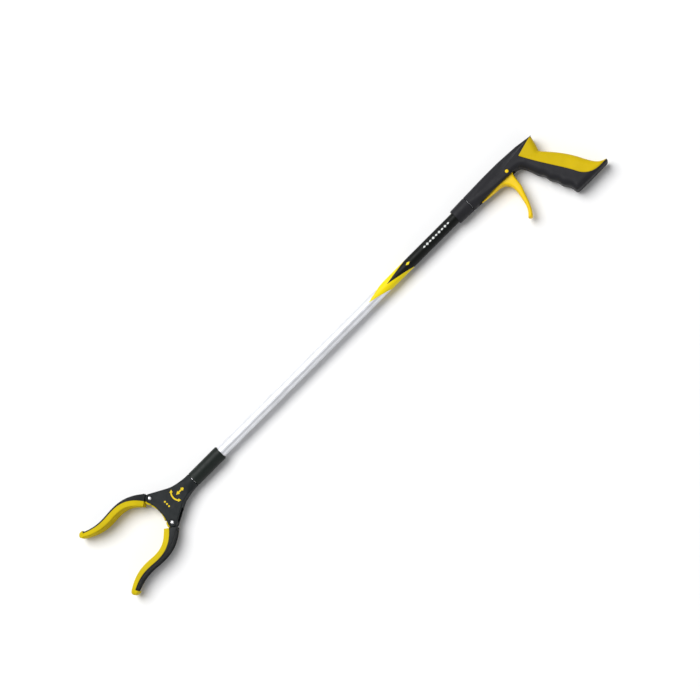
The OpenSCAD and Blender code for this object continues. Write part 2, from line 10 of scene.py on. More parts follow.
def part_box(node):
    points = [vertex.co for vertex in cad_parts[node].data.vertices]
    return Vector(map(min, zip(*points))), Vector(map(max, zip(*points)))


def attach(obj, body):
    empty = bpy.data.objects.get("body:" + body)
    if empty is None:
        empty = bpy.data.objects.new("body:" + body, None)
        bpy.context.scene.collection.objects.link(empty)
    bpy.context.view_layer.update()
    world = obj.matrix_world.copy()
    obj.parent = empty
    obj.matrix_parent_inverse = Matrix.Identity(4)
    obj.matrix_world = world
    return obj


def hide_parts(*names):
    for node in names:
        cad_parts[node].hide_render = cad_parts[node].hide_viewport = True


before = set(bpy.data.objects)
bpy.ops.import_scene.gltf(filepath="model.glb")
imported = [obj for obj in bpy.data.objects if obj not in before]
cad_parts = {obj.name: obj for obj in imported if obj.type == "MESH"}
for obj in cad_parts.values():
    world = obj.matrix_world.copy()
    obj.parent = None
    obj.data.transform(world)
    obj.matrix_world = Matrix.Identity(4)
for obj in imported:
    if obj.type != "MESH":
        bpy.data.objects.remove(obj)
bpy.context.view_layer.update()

# Shapes are worked out in millimetres and made in metres.
MM = 0.001


# ---------- stations, read from the frame ----------
def box_mm(node):
    low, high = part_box(node)
    return np.array(low) / MM, np.array(high) / MM


def middle(node):
    low, high = box_mm(node)
    return (low + high) / 2


RIVET_HEAD = 2.45
AXIS_Y, AXIS_Z = middle("tube")[1:]
NOSE_X = box_mm("nose_ring")[0][0]
RIVET_X = middle("jaw_rivets")[0]
RIVET_Y = (box_mm("jaw_rivets")[1][1] - box_mm("jaw_rivets")[0][1]) / 2 - RIVET_HEAD
PIN = middle("trigger_pin")
TUBE_R = (box_mm("tube")[1][1] - box_mm("tube")[0][1]) / 2
LABEL_TIP = box_mm("tube_label")[0][0]
HEAD_HALF = box_mm("throat_pad")[1][2] - AXIS_Z + 1
HANDLE_HALF = box_mm("handle_shell_upper")[1][2] - AXIS_Z
JAW_HALF = (box_mm("jaw_frame_upper")[1][2] - box_mm("jaw_frame_upper")[0][2]) / 2
CHEEK = 2.8
SOFT = 30  # degrees: edges sharper than this stay hard on the handle and the trigger
ROOT_HALF = HEAD_HALF - CHEEK - 0.4


# ---------- curves and distances in a plane ----------
def cubic(points, t):
    p = np.array(points, float)
    return (1 - t) ** 3 * p[0] + 3 * t * (1 - t) ** 2 * p[1] + 3 * t * t * (1 - t) * p[2] + t ** 3 * p[3]


def bez(points, n, end=False):
    """Corners along a cubic curve; its last corner is left out where another run starts there."""
    run = cubic(points, np.linspace(0, 1, n + 1)[:, None])
    return run if end else run[:-1]


def arc(centre, r, a0, a1, n):
    """Corners along an arc, with angles in degrees."""
    a = np.radians(np.linspace(a0, a1, n + 1))
    return np.array(centre) + r * np.c_[np.cos(a), np.sin(a)]


def smooth(x, x0, x1):
    """0 at x0, 1 at x1, with a soft start and stop."""
    t = np.clip((np.asarray(x, float) - x0) / (x1 - x0), 0, 1)
    return t * t * (3 - 2 * t)


def dense(loop, spacing):
    """A closed outline with corners no farther apart than the spacing."""
    out = []
    loop = np.array(loop, float)
    for a, b in zip(loop, np.roll(loop, -1, 0)):
        n = max(1, math.ceil(np.linalg.norm(b - a) / spacing))
        out += [a + (b - a) * i / n for i in range(n)]
    return np.array(out)


def distance(points, loop):
    a, b = loop, np.roll(loop, -1, 0)
    ab = b - a
    best = np.full(len(points), 1e9)
    for i in range(len(a)):
        if ab[i] @ ab[i] < 1e-12:
            continue
        t = np.clip((points - a[i]) @ ab[i] / (ab[i] @ ab[i]), 0, 1)
        best = np.minimum(best, np.linalg.norm(points - a[i] - t[:, None] * ab[i], axis=1))
    return best


def inside(points, loop):
    x, y = points[:, 0], points[:, 1]
    odd = np.zeros(len(points), bool)
    for (ax, ay), (bx, by) in zip(loop, np.roll(loop, -1, 0)):
        if ay == by:
            continue
        odd ^= ((ay > y) != (by > y)) & (x < (bx - ax) * (y - ay) / (by - ay) + ax)
    return odd


def inset(loop, d):
    """An outline moved inwards by d at each corner."""
    ahead = np.roll(loop, -1, 0) - np.roll(loop, 1, 0)
    ahead /= np.linalg.norm(ahead, axis=1)[:, None] + 1e-9
    area = np.sum(loop[:, 0] * np.roll(loop[:, 1], -1) - loop[:, 1] * np.roll(loop[:, 0], -1))
    side = 1 if area > 0 else -1
    return loop + d * side * np.c_[-ahead[:, 1], ahead[:, 0]]


def rounding(d, r):
    """How far a rounded edge of radius r has dropped at a distance d from the outline."""
    e = np.clip(r - d, 0, r)
    return r - np.sqrt(np.maximum(r * r - e * e, 0))


def edge_rings(r, n=6):
    """Distances from the outline at which a rounded edge needs rows of corners."""
    return [r * (1 - math.cos(math.pi / 2 * i / n)) for i in range(1, n + 1)]


# ---------- meshes ----------
def sheet(outline, step, rings=(), extra=(), edge=0.8):
    """Triangles that fill an outline, with rows of corners along its edge: corners, triangles, boundary."""
    loop = dense(outline, edge)
    rows = [loop]
    for d in rings:
        row = inset(loop, d)
        rows.append(row[inside(row, loop) & (distance(row, loop) > 0.97 * d)])
    reach = rings[-1] if len(rings) else 0
    low, high = loop.min(0), loop.max(0)
    xs, ys = np.arange(low[0], high[0], step), np.arange(low[1], high[1], step * 0.87)
    grid = np.array([[x + (j % 2) * step / 2, y] for j, y in enumerate(ys) for x in xs])
    rows.append(grid[inside(grid, loop) & (distance(grid, loop) > reach + 0.4 * step)])
    rows += [np.array(e, float) for e in extra]
    points = [Vector(p) for p in np.concatenate(rows)]
    n = len(loop)
    made = delaunay_2d_cdt(points, [(i, (i + 1) % n) for i in range(n)], [], 1, 1e-4)
    at = {i: j for j, ids in enumerate(made[3]) for i in ids}
    return np.array([tuple(v) for v in made[0]]), [tuple(f) for f in made[2]], [at[i] for i in range(n)]


def solid(flat, top, bottom):
    """A closed body from a flat sheet, given the height of its top and of its bottom at each corner."""
    points, faces, rim = flat
    n = len(points)
    verts = np.concatenate([np.c_[points, top], np.c_[points, bottom]])
    walls = [(a, b, b + n, a + n) for a, b in zip(rim, rim[1:] + rim[:1])]
    return verts, faces + [tuple(i + n for i in reversed(f)) for f in faces] + walls


def loft(sections, closed=True):
    """A body through rings of corners that all have the same number of corners."""
    n = len(sections[0])
    faces = []
    for a in range(0, (len(sections) - 1) * n, n):
        b = a + n
        faces += [(a + k, a + (k + 1) % n, b + (k + 1) % n, b + k) for k in range(n)]
    if closed:
        faces += [tuple(range(n - 1, -1, -1)), tuple(range((len(sections) - 1) * n, len(sections) * n))]
    return np.concatenate(sections), faces


def joined(*parts):
    verts, faces, base = [], [], 0
    for v, f in parts:
        verts.append(v)
        faces += [tuple(i + base for i in g) for g in f]
        base += len(v)
    return np.concatenate(verts), faces


def moved(part, at=(0, 0, 0), flip_y=False, flip_z=False):
    v = np.array(part[0], float) * [1, -1 if flip_y else 1, -1 if flip_z else 1]
    return v + np.array(at), part[1]


def lathe(profile, sides=64):
    """A body turned about X from (x, radius) pairs."""
    a = np.linspace(0, 2 * math.pi, sides, endpoint=False)
    return loft([np.c_[np.full(sides, x), r * np.cos(a), r * np.sin(a)] for x, r in profile])


def piece(name, part, material, body, nodes=(), sharp=38):
    """An object in the frame from corners in millimetres about the tube's axis."""
    verts, faces = part
    mesh = bpy.data.meshes.new(name)
    mesh.from_pydata(((verts + [0, AXIS_Y, AXIS_Z]) * MM).tolist(), [], faces)
    work = bmesh.new()
    work.from_mesh(mesh)
    bmesh.ops.dissolve_degenerate(work, dist=1e-7, edges=work.edges)
    bmesh.ops.recalc_face_normals(work, faces=work.faces)
    work.to_mesh(mesh)
    work.free()
    mesh.polygons.foreach_set("use_smooth", [True] * len(mesh.polygons))
    mesh.set_sharp_from_angle(angle=math.radians(sharp))
    mesh.materials.append(material)
    obj = bpy.data.objects.new(name, mesh)
    bpy.context.collection.objects.link(obj)
    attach(obj, body)
    if nodes:
        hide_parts(*nodes)


# ---------- materials ----------
class Paint:
    """A material with a small set of node helpers."""

    def __init__(self, name):
        self.mat = bpy.data.materials.new(name)
        self.mat.use_nodes = True
        self.tree = self.mat.node_tree
        self.bsdf = self.tree.nodes["Principled BSDF"]
        self.coord = self.add("ShaderNodeTexCoord").outputs["Object"]

    def add(self, kind, **inputs):
        node = self.tree.nodes.new(kind)
        for key, value in inputs.items():
            self.put(node.inputs[key.replace("_", " ")], value)
        return node

    def put(self, socket, value):
        if isinstance(value, bpy.types.NodeSocket):
            self.tree.links.new(value, socket)
        else:
            socket.default_value = value

    def set(self, **inputs):
        for key, value in inputs.items():
            self.put(self.bsdf.inputs[key.replace("_", " ")], value)

    def noise(self, scale, detail=3, stretch=(1, 1, 1)):
        place = self.add("ShaderNodeMapping", Vector=self.coord, Scale=stretch)
        node = self.add("ShaderNodeTexNoise", Vector=place.outputs[0], Scale=scale, Detail=detail)
        return node.outputs["Fac"]

    def span(self, value, low, high, start=0.3, stop=0.7):
        node = self.add("ShaderNodeMapRange", Value=value)
        for key, v in (("From Min", start), ("From Max", stop), ("To Min", low), ("To Max", high)):
            node.inputs[key].default_value = v
        return node.outputs[0]

    def mix(self, factor, a, b):
        node = self.add("ShaderNodeMix")
        node.data_type = "RGBA"
        self.put(node.inputs[0], factor)
        for socket, value in ((node.inputs[6], a), (node.inputs[7], b)):
            self.put(socket, (*value, 1) if isinstance(value, tuple) else value)
        return node.outputs[2]

    def edges(self, low=0.53, high=0.62):
        return self.span(self.add("ShaderNodeNewGeometry").outputs["Pointiness"], 0, 1, low, high)

    def bump(self, height, distance, under=None):
        node = self.add("ShaderNodeBump", Height=height, Strength=1.0, Distance=distance)
        if under is not None:
            self.put(node.inputs["Normal"], under)
        return node.outputs[0]


def scaled(color, k):
    return tuple(min(1.0, c * k) for c in color)


def moulded(name, color, rough, grain=2600, depth=0.00003, worn=1.2, spread=0.12, shine=0.2):
    """Moulded plastic or rubber: fine grain, faint clouding, and edges rubbed lighter."""
    p = Paint(name)
    cloud = p.noise(35, 4)
    base = p.mix(p.span(cloud, 0, 1), scaled(color, 1 - spread), scaled(color, 1 + spread))
    rub = p.add("ShaderNodeMath")
    rub.operation = "MULTIPLY"
    p.put(rub.inputs[0], p.edges())
    p.put(rub.inputs[1], p.span(p.noise(220, 3), 0.1, 0.8))
    p.set(Base_Color=p.mix(rub.outputs[0], base, scaled(color, worn)))
    p.set(Roughness=p.span(p.noise(160, 3), rough - 0.07, rough + 0.08))
    p.set(Specular_IOR_Level=shine)
    fine = p.bump(p.noise(grain, 2), depth)
    p.set(Normal=p.bump(p.noise(90, 2), depth * 4, fine))
    return p


def brushed(name, color, rough, along=(1, 1, 1), metal=1.0):
    """Metal with fine drawing lines along one direction."""
    p = Paint(name)
    lines = p.noise(1800, 4, along)
    p.set(Base_Color=p.mix(p.span(p.noise(60, 3), 0, 1), scaled(color, 0.9), color))
    p.set(Roughness=p.span(lines, rough - 0.06, rough + 0.1), Metallic=metal)
    p.set(Normal=p.bump(lines, 0.000006))
    return p


def make_materials():
    m = {}
    m["shell"] = moulded("shell_plastic", (0.019, 0.019, 0.022), 0.5, worn=1.5, shine=0.13)
    m["head"] = moulded("head_plastic", (0.015, 0.018, 0.019), 0.5, worn=1.5, shine=0.11)
    m["jaw"] = moulded("jaw_plastic", (0.012, 0.014, 0.015), 0.48, worn=1.5, shine=0.12)
    m["collar"] = moulded("collar_plastic", (0.011, 0.015, 0.013), 0.44, worn=1.4, shine=0.14)
    m["pad"] = moulded("pad_rubber", (0.6, 0.46, 0.002), 0.62, 1500, 0.00004, 1.08, 0.07, 0.12)
    m["back"] = moulded("back_rubber", (0.6, 0.43, 0.002), 0.64, 1300, 0.00006, 1.08, 0.06, 0.12)
    m["trigger"] = moulded("trigger_plastic", (0.84, 0.57, 0.002), 0.45, 2600, 0.00003, 1.04, 0.05, 0.2)
    m["mark"] = moulded("mark_ink", (0.75, 0.55, 0.006), 0.5, 2600, 0.00003, 1.0, 0.06, 0.15)
    m["film_black"] = moulded("film_black", (0.006, 0.007, 0.006), 0.4, 900, 0.000006, 1.2, 0.12, 0.12)
    m["film_yellow"] = moulded("film_yellow", (0.86, 0.68, 0.002), 0.4, 900, 0.000006, 1.0, 0.04, 0.15)
    m["film_line"] = moulded("film_line", (0.7, 0.72, 0.7), 0.4, 900, 0.000006, 1.0, 0.05)
    m["nylon"] = moulded("nylon", (0.7, 0.68, 0.6), 0.45, 1800, 0.00002, 1.0, 0.05, 0.4)
    m["alloy"] = brushed("drawn_alloy", (0.8, 0.81, 0.84), 0.56, (0.02, 1, 1))
    m["steel"] = brushed("bright_steel", (0.8, 0.8, 0.82), 0.22)
    m["rivet"] = brushed("rivet_steel", (0.95, 0.95, 0.96), 0.3)
    m["zinc"] = brushed("zinc_steel", (0.62, 0.63, 0.66), 0.32)
    return {key: p.mat for key, p in m.items()}


def repaint(material, *names):
    for name in names:
        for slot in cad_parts[name].material_slots:
            slot.material = material


# ---------- jaws: about their rivet, pointing to -X ----------
ROOT_CURVE = [[-8, 2.5], [-20.5, 20], [-34, 24], [-52, 22.6]]
TIP_CURVE = [[-52, 22.6], [-66, 21.5], [-77, 21], [-94.5, 29.6]]
TONGUE_X = [-103, -99, -92, -82, -70, -34, -24, -15, -7]
TONGUE = [0.45, 0.65, 0.82, 0.94, 1, 1, 0.96, 0.84, 0.64]


def jaw_at(s):
    p = np.array(ROOT_CURVE if s < 1 else TIP_CURVE, float)
    t = s if s < 1 else s - 1
    here = cubic(p, t)
    slope = (1 - t) ** 2 * (p[1] - p[0]) + 2 * t * (1 - t) * (p[2] - p[1]) + t * t * (p[3] - p[2])
    slope /= np.linalg.norm(slope)
    return here, slope, np.array([slope[1], -slope[0]])


def frame_depth(s):
    return 2 + 7.8 * (1 - s) ** 2.3 if s < 1 else 2 - 0.6 * (s - 1)


def pad_depth(s):
    return 8 if s < 1 else 8 - 2.4 * (s - 1) ** 2


def section(here, outward, ring):
    """Corners in space for (outward, z) pairs at a station of the jaw."""
    ring = np.array(ring)
    return np.c_[here + ring[:, :1] * outward, ring[:, 1]]


def corner(n, z, r, a0, a1, steps=4):
    return [tuple(p) for p in arc((n, z), r, a0, a1, steps)]


def tongue(x):
    """Half width of a blade at a station: narrow by the rivet, with an end like a rounded tongue."""
    return JAW_HALF * float(np.interp(x, TONGUE_X, TONGUE))


def frame_ring(depth, half):
    r = 0.5
    dip = min(0.7, 0.28 * depth)
    right = corner(depth - r, half - r, r, 90, 0)
    right += [(depth, half - 2.2), (depth - dip, half - 3), (depth - dip, 0.2)]
    left = [(n, -z) for n, z in reversed(right)]
    return [(0, half - 0.3), (0.3, half)] + right + left + [(0.3, -half), (0, 0.3 - half)]


def rib_profile(z, low, high):
    half = 1.3
    return [
        (low, z + half + 0.2), (high - 0.2 * (high - low), z + half), (high, z + half - 0.3),
        (high, z - half + 0.3), (high - 0.2 * (high - low), z - half), (low, z - half - 0.2),
    ]


def pad_ring(out, depth, rib, half):
    """Ring of a pad: outer face at `out`, gripping face at -depth with ribs standing `rib` proud."""
    r = min(1.3, 0.45 * (out + depth))
    ring = [(out - 0.25 * r, half), (-depth + r, half)] + corner(r - depth, half - r, r, 90, 180)[1:]
    for i in range(2, -3, -1):
        ring += rib_profile(i * 4 * half / JAW_HALF, -depth, -depth - rib)
    ring += corner(r - depth, r - half, r, 180, 270)[:-1] + [(-depth + r, -half), (out - 0.25 * r, -half)]
    return ring + [(out, 0.3 * r - half), (out, half - 0.3 * r)]


def jaw_frame():
    rings = []
    for s in np.linspace(0, 2, 49):
        here, _, outward = jaw_at(s)
        rings.append(section(here, outward, frame_ring(frame_depth(s), tongue(here[0]))))
    here, _, outward = jaw_at(0.06)
    lug = math.radians(3.2)
    edge = [here, here + outward * frame_depth(0), [0, 5.6], [-1, -2]]
    root = plate(edge, -ROOT_HALF, ROOT_HALF)
    hub = plate(arc((0, 0), 5.8, 0, 345, 23), -ROOT_HALF, ROOT_HALF)
    c, s = math.cos(lug - math.pi / 2), math.sin(lug - math.pi / 2)
    turn = np.array([[c, s], [-s, c]])
    arm = np.concatenate([arc((10.5, 0), 3.4, -90, 90, 12), arc((0, 0), 3.4, 90, 270, 12)])
    return joined(loft(rings), root, hub, plate(arm @ turn, -2.5, 2.5))


def plate(outline, z0, z1, chamfer=0.3):
    loop = np.array(outline, float)
    small = inset(loop, chamfer)
    rows = [(small, z0), (loop, z0 + chamfer), (loop, z1 - chamfer), (small, z1)]
    return loft([np.c_[p, np.full(len(p), z)] for p, z in rows])


def jaw_pad():
    rings = []
    for s in np.linspace(0, 2, 49):
        here, _, outward = jaw_at(s)
        swell = 0.7 * smooth(s, 0.02, 0.12)
        rings.append(section(here, outward, pad_ring(0, pad_depth(s) - 0.7, swell, tongue(here[0]))))
    here, slope, outward = jaw_at(2)
    depth, lip, length = pad_depth(2) - 0.7, 3.4, 6.9
    for e in [0.02, 0.5, 1.5, 2.5, 3.5, 4.5, 5.3, 6, 6.5, 6.8, 6.88]:
        k = math.sqrt(max(0, 1 - max(0, (e - 1) / (length - 1)) ** 2.2))
        mid, span = (lip - depth) / 2 - 0.9 * (e / length), (lip + depth) / 2 * (0.08 + 0.92 * k)
        half = tongue(here[0] + e * slope[0]) * (1 - 0.25 * (e / length) ** 4)
        rib = 0.7 * (1 - smooth(e, 0.5, 4))
        rings.append(section(here + slope * e, outward, pad_ring(mid + span, span - mid, rib, half)))
    tail = np.concatenate([arc((0, 0), 8.5, 170, 235, 10), arc((0, 0), 6.3, 235, 170, 10)])
    return joined(loft(rings), plate(tail, -ROOT_HALF, ROOT_HALF))


def make_jaws(m):
    for side, flip in (("upper", False), ("lower", True)):
        at = (RIVET_X, -RIVET_Y if flip else RIVET_Y, 0)
        body = "jaw_" + side
        blade, grip = moved(jaw_frame(), at, flip), moved(jaw_pad(), at, flip)
        piece("jaw_blade_" + side, blade, m["jaw"], body, ["jaw_frame_" + side])
        piece("jaw_grip_" + side, grip, m["pad"], body, ["jaw_pad_" + side])


# ---------- head: x from the rivets, y about the axis ----------
LOBE_R = 6
THROAT_X, THROAT_R = -2, 57
WAIST_R = 44
SIDE_ANGLE = math.radians(29)
NECK_R = 9.9
NECK_END = 57
CORE_X = 22
HEAD_EDGE = 1.1
RIVET_RECESS = 4.3


def throat_arc(y):
    return np.array([THROAT_X - THROAT_R + math.sqrt(THROAT_R ** 2 - y * y), y])


def head_outline():
    lobe = np.array([0, RIVET_Y])
    tries = np.linspace(10, RIVET_Y, 400)
    meet = min((abs(np.linalg.norm(throat_arc(y) - lobe) - LOBE_R), y) for y in tries)[1]
    start = throat_arc(meet) - lobe
    angle = math.degrees(math.atan2(start[1], start[0])) % 360
    top = lobe + LOBE_R * np.array([math.sin(SIDE_ANGLE), math.cos(SIDE_ANGLE)])
    drop = WAIST_R * (1 - math.cos(SIDE_ANGLE))
    waist_x = top[0] + (top[1] - NECK_R - drop) / math.tan(SIDE_ANGLE)
    end_x = waist_x + WAIST_R * math.sin(SIDE_ANGLE)
    half = np.concatenate([
        [throat_arc(y) for y in np.linspace(0.001, meet, 14)],
        arc(lobe, LOBE_R, angle, 90 - math.degrees(SIDE_ANGLE), 20)[1:],
        arc((end_x, NECK_R + WAIST_R), WAIST_R, 270 - math.degrees(SIDE_ANGLE), 270, 16),
        [[NECK_END, NECK_R]],
    ])
    return np.concatenate([half, (half * [1, -1])[::-1]])


def head_half(upper):
    outline = head_outline()
    rivets = [np.array([0, y]) for y in (RIVET_Y, -RIVET_Y)]
    circles = [arc(c, RIVET_RECESS + r, 0, 345, 23) for c in rivets for r in (0.1, -0.15)]
    step_line = [[[x, y] for y in np.arange(-14, 15, 1.5)] for x in (CORE_X - 0.05, CORE_X + 0.05)]
    flat = sheet(outline, 1.5, edge_rings(HEAD_EDGE, 5), circles + step_line, 1.0)
    p, d = flat[0], distance(flat[0], dense(outline, 1.0))
    face = HEAD_HALF - rounding(d, HEAD_EDGE)
    round_neck = np.sqrt(np.maximum(NECK_R ** 2 - p[:, 1] ** 2, 0))
    blend = smooth(p[:, 0], 38, 54)
    top = face * (1 - blend) + round_neck * blend
    near = np.min([np.linalg.norm(p - c, axis=1) for c in rivets], axis=0)
    top -= 0.8 * (near < RIVET_RECESS)
    bottom = np.where(p[:, 0] < CORE_X, HEAD_HALF - CHEEK, 0)
    bottom = np.minimum(bottom, top)
    return moved(solid(flat, top, bottom), (RIVET_X, 0, 0), flip_z=not upper)


def dome(at, r, height, base, sides=28):
    """A shallow round head standing on z = base."""
    rows = [(r, base - 0.6), (r, base)]
    rows += [(r * math.cos(a), base + height * math.sin(a)) for a in np.radians([20, 40, 60, 75, 87])]
    a = np.linspace(0, 2 * math.pi, sides, endpoint=False)
    rings = [np.c_[at[0] + q * np.cos(a), at[1] + q * np.sin(a), np.full(sides, z)] for q, z in rows]
    return loft(rings)


def rivets():
    parts = []
    for y in (RIVET_Y, -RIVET_Y):
        head = dome((RIVET_X, y), RIVET_HEAD, 1.0, HEAD_HALF - 0.75)
        shank = plate(arc((RIVET_X, y), 2, 0, 345, 23), 0.7 - HEAD_HALF, HEAD_HALF - 0.7)
        parts += [head, moved(head, flip_z=True), shank]
    return joined(*parts)


def throat_strip():
    ys = np.linspace(-13.2, 13.2, 30)
    back = np.array([throat_arc(y) for y in ys]) + [RIVET_X - 0.05, 0]
    thick = 0.5 + 1.5 * (ys / 13.2) ** 2
    front = back - np.c_[thick, np.zeros(len(ys))]
    return plate(np.concatenate([back, front[::-1]]), 1 - HEAD_HALF, HEAD_HALF - 1, 0.35)


def double_arrow(length, shaft, head, head_len):
    h = length / 2
    half = [[-h, 0], [head_len - h, head / 2], [head_len - h, shaft / 2], [h - head_len, shaft / 2],
            [h - head_len, head / 2], [h, 0]]
    return np.array(half + [[x, -y] for x, y in half[-2:0:-1]])


def curved_arrow():
    """Double arrow bent round a centre on the handle side."""
    r, span, shaft, head = 11.5, 38, 0.95, 2.3
    c = (0, 0)
    outer = arc(c, r + shaft, 180 - span, 180 + span, 16)
    inner = arc(c, r - shaft, 180 + span, 180 - span, 16)
    tip_a = arc(c, r, 180 + span + 19, 180 + span + 19, 1)[:1]
    tip_b = arc(c, r, 180 - span - 19, 180 - span - 19, 1)[:1]
    wide_a = [arc(c, q, 180 + span, 180 + span, 1)[0] for q in (r + head, r - head)]
    wide_b = [arc(c, q, 180 - span, 180 - span, 1)[0] for q in (r - head, r + head)]
    return np.concatenate([outer, [wide_a[0]], tip_a, [wide_a[1]], inner, [wide_b[0]], tip_b, [wide_b[1]]])


def raised_mark(outline, at, height=0.22):
    flat = sheet(np.array(outline) + at, 2.5, (), (), 2)
    base = HEAD_HALF
    return solid(flat, np.full(len(flat[0]), base + height), np.full(len(flat[0]), base - 0.2))


def make_head(m):
    for side, node in ((True, "head_shell_upper"), (False, "head_shell_lower")):
        piece("head_cheek_" + node[11:], head_half(side), m["head"], "head", [node])
    piece("rivet_heads", rivets(), m["rivet"], "head", ["jaw_rivets"])
    piece("throat_strip", throat_strip(), m["pad"], "head", ["throat_pad"])
    dots = [raised_mark(arc((0, 0), 1.25, 0, 337.5, 15), (RIVET_X + 11.5, y)) for y in (-4, 0, 4)]
    marks = joined(
        raised_mark(double_arrow(14.5, 1.9, 5.2, 4.6), (RIVET_X + 35.6, 0)),
        raised_mark(curved_arrow(), (RIVET_X + 34.5, 0)),
        *dots,
    )
    piece("turn_marks", marks, m["mark"], "head")


# ---------- tube ----------
FILM = 0.2
CHEVRON = 34
BAND = 42


def label_part(x_front, x_back, r):
    """Sleeve between two edges, each a function of the height |y| over the tube's radius."""
    sides, rows = 96, 12
    a = np.linspace(0, 2 * math.pi, sides, endpoint=False)
    lift = np.abs(np.cos(a))
    rings = []
    for t in np.linspace(0, 1, rows):
        x = x_front(lift) * (1 - t) + x_back(lift) * t
        rings.append(np.c_[x, r * np.cos(a), r * np.sin(a)])
    skin = [np.c_[rings[0][:, 0], rings[0][:, 1:] * (r - 0.9 * FILM) / r]]
    return loft(skin + rings, closed=False)


def make_label(m):
    r = TUBE_R + FILM

    def change(k):
        return LABEL_TIP + CHEVRON + BAND * k

    yellow = label_part(lambda k: LABEL_TIP + CHEVRON * k, change, r)
    black = label_part(change, lambda k: np.full(len(k), NOSE_X + 0.3), r)
    piece("label_film_yellow", yellow, m["film_yellow"], "handle", ["tube_label"])
    piece("label_film_black", black, m["film_black"], "handle")
    starts = NOSE_X - 58 + 5.4 * np.arange(9)
    row = [lozenge(x, x + 4.4, 1.3 + 0.6 * (i % 2), r) for i, x in enumerate(starts)]
    piece("label_lozenges", joined(*row), m["film_line"], "handle")
    diamond = lozenge(NOSE_X - 90, NOSE_X - 83, 1.7, r)
    piece("label_diamond", diamond, m["film_yellow"], "handle")


def lozenge(x0, x1, half, r):
    """A printed lozenge on the top of the film, standing 0.05 mm proud."""
    rings = []
    for x in np.linspace(x0, x1, 25):
        w = half * (1 - abs(2 * (x - x0) / (x1 - x0) - 1)) + 0.01
        ring = [(-w, -0.05), (-w, 0.05), (0, 0.05), (w, 0.05), (w, -0.05), (0, -0.05)]
        rings.append(np.array([[x, y, math.sqrt((r + lift) ** 2 - y * y)] for y, lift in ring]))
    return loft(rings)


# ---------- handle: x from the nose, y about the axis ----------
LIP = 189.5
FINGER, HEEL = np.array([109, -21]), np.array([133.5, -88])
WEB_RUN = bez([[144, 6.1], [143, 1], [140, -9], [137, -17]], 10)
BACK_LOW = np.concatenate([
    bez([[137, -17], [141, -23], [152, -34], [161, -49]], 10),
    bez([[161, -49], [172, -67], [174, -84], [LIP, -87.5]], 16, True),
])
SEAM_START = np.array([113.5, -4])
PIN_SPOT = np.array([PIN[0] - NOSE_X, PIN[1] - AXIS_Y])
FRONT_STATIONS = [25, 60, 88, 120, 143.8]
FRONT_TOP = [11, 12, 12, 10.2, 6.8]
CREASE = [0, -2, -2, 2, 5]


def finger_side(t):
    """Finger side of the grip: a slightly full line with three shallow grooves."""
    groove = 0.9 * (1 - math.cos(8 * math.pi * t)) if t > 0.25 else 0
    return FINGER + t * (HEEL - FINGER) + np.array([groove - math.sin(math.pi * t), 0])


def front_side():
    return np.concatenate([
        [finger_side(t) for t in np.linspace(1, 0.02, 45)],
        bez([FINGER, [106, -14.5], [102, -12.6], [95, -12.6]], 10, True),
        [[88, -12.6], [60, -11.6], [25, -11]],
    ])


def spine():
    return np.array([[25, 11], [60, 12], [88, 12], [120, 10.2], [143.8, 6.8]])


def butt():
    heel = bez([[HEEL[0] + 9, -91.4], [HEEL[0] + 3, -91.5], [HEEL[0] - 1.2, -90.6], HEEL - [0.2, -1]], 8)
    return np.concatenate([[[LIP, -88.2], [LIP - 0.6, -90.5], [LIP - 3, -91.2], [150, -91.5]], heel])


def handle_outline():
    return np.concatenate([spine(), WEB_RUN, BACK_LOW, butt(), front_side()])


def seam():
    """The line between the black shell and the yellow back, from the lip of the butt up to the receiver."""
    return np.concatenate([
        [[LIP, -87.9]],
        bez([[184, -88.6], [164, -90.5], [155, -83], [150, -71]], 14),
        bez([[150, -71], [143.5, -56], [125.5, -31], SEAM_START], 20, True),
    ])


def black_outline():
    return np.concatenate([spine(), WEB_RUN[:2], seam()[::-1], butt(), front_side()])


def back_outline():
    return np.concatenate([WEB_RUN[1:], BACK_LOW, seam()])


def receiver_height(p):
    x, y = p[:, 0], p[:, 1]
    at = FRONT_STATIONS
    top = np.interp(x, at, FRONT_TOP)
    crease = np.interp(x, at, CREASE)
    side = np.interp(x, at, [11, 11.5, 13, 12, 10])
    crown = np.interp(x, at, [11, 7.5, 6.5, 4.5, 1.6])
    low = np.interp(x, at, [-11, -11.6, -12.6, -12.6, -12.6])
    low_r = np.interp(x, at, [10.9, 3.5, 2.5, 2.5, 2.5])
    yc = top - crown
    t = np.clip((y - crease) / np.maximum(yc - crease, 0.01), 0, 1)
    slope = side + (crown - side) * t
    cap = np.sqrt(np.maximum(crown ** 2 - np.maximum(y - yc, 0) ** 2, 0))
    z = np.where(y > yc, cap, slope)
    corner_drop = rounding(np.maximum(y - low, 0), low_r)
    return z - corner_drop * smooth(x, 104, 90)


def grip_height(p, loop):
    d = distance(p, loop)
    belly = 8.5 - 2.5 * smooth(p[:, 1], -80, -92)
    return HANDLE_HALF - rounding(d, belly) - 0.5 * smooth(p[:, 1], -30, -55)


def handle_height(p, loop):
    w = smooth(p[:, 1], -15, -6)
    w = np.maximum(w, smooth(p[:, 0], 96, 90))
    return grip_height(p, loop) * (1 - w) + receiver_height(p) * w


